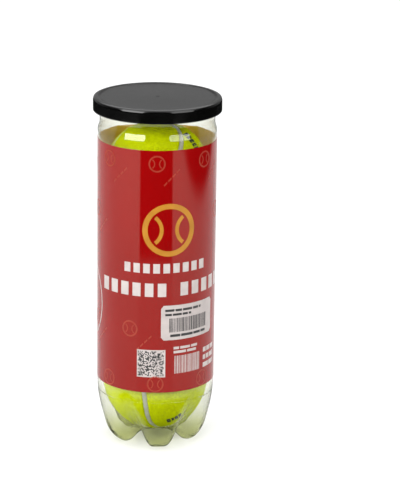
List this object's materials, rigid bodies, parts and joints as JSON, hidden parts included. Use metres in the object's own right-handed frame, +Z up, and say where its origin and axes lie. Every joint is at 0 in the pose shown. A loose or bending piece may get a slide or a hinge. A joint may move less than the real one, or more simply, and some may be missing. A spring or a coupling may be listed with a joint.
{
  "type": "tennis ball can",
  "caption": "Clear plastic can with a push-on lid and a tear-off metal end, holding a stack of felt-covered balls.",
  "frame": {"origin": "on the floor, on the can's axis, under the five feet", "axes": "+Z up along the can's axis; the price sticker is toward -Y and +X"},
  "size_m": [0.079, 0.079, 0.2202],
  "materials": {
    "clear_plastic": "glossy clear",
    "label_film": "gloss",
    "sticker_paper": "matt",
    "felt": "fuzzy felt",
    "seam_rubber": "matt",
    "ball_rubber": "matt",
    "end_metal": "satin",
    "sealing_compound": "matt",
    "cap_plastic": "satin"
  },
  "bodies": {
    "can": {"can_body": "clear_plastic", "label": "label_film", "price_sticker": "sticker_paper", "end_ring": "end_metal", "seam_gasket": "sealing_compound"},
    "ball_1": {"ball_1_core_lower_half": "ball_rubber", "ball_1_core_upper_half": "ball_rubber", "ball_1_felt_panel_a": "felt", "ball_1_felt_panel_b": "felt", "ball_1_seam": "seam_rubber"},
    "ball_2": {"ball_2_core_lower_half": "ball_rubber", "ball_2_core_upper_half": "ball_rubber", "ball_2_felt_panel_a": "felt", "ball_2_felt_panel_b": "felt", "ball_2_seam": "seam_rubber"},
    "ball_3": {"ball_3_core_lower_half": "ball_rubber", "ball_3_core_upper_half": "ball_rubber", "ball_3_felt_panel_a": "felt", "ball_3_felt_panel_b": "felt", "ball_3_seam": "seam_rubber"},
    "panel": {"end_panel": "end_metal", "tab_tongue": "end_metal"},
    "tab": {"pull_tab": "end_metal"},
    "cap": {"overcap": "cap_plastic"}
  },
  "joints": [
    {"name": "ball_1_lift", "type": "slide", "parent": "can", "child": "ball_1", "axis": [0, 0, 1], "range_m": [0, 0.215]},
    {"name": "ball_2_lift", "type": "slide", "parent": "ball_1", "child": "ball_2", "axis": [0, 0, 1], "range_m": [0, 0.15]},
    {"name": "ball_3_lift", "type": "slide", "parent": "ball_2", "child": "ball_3", "axis": [0, 0, 1], "range_m": [0, 0.085]},
    {"name": "panel_lift", "type": "slide", "parent": "ball_3", "child": "panel", "axis": [0, 0, 1], "range_m": [0, 0.06]},
    {"name": "cap_lift", "type": "slide", "parent": "panel", "child": "cap", "axis": [0, 0, 1], "range_m": [0, 0.06]},
    {"name": "tab_hinge", "type": "hinge", "parent": "panel", "child": "tab", "pos_m": [0, 0.0306, 0.2133], "axis": [-1, 0, 0], "range_deg": [0, 90]}
  ],
  "couplings": [
    {"joint": "tab_hinge", "follows": "cap_lift", "rad_per_m": 25.8}
  ]
}
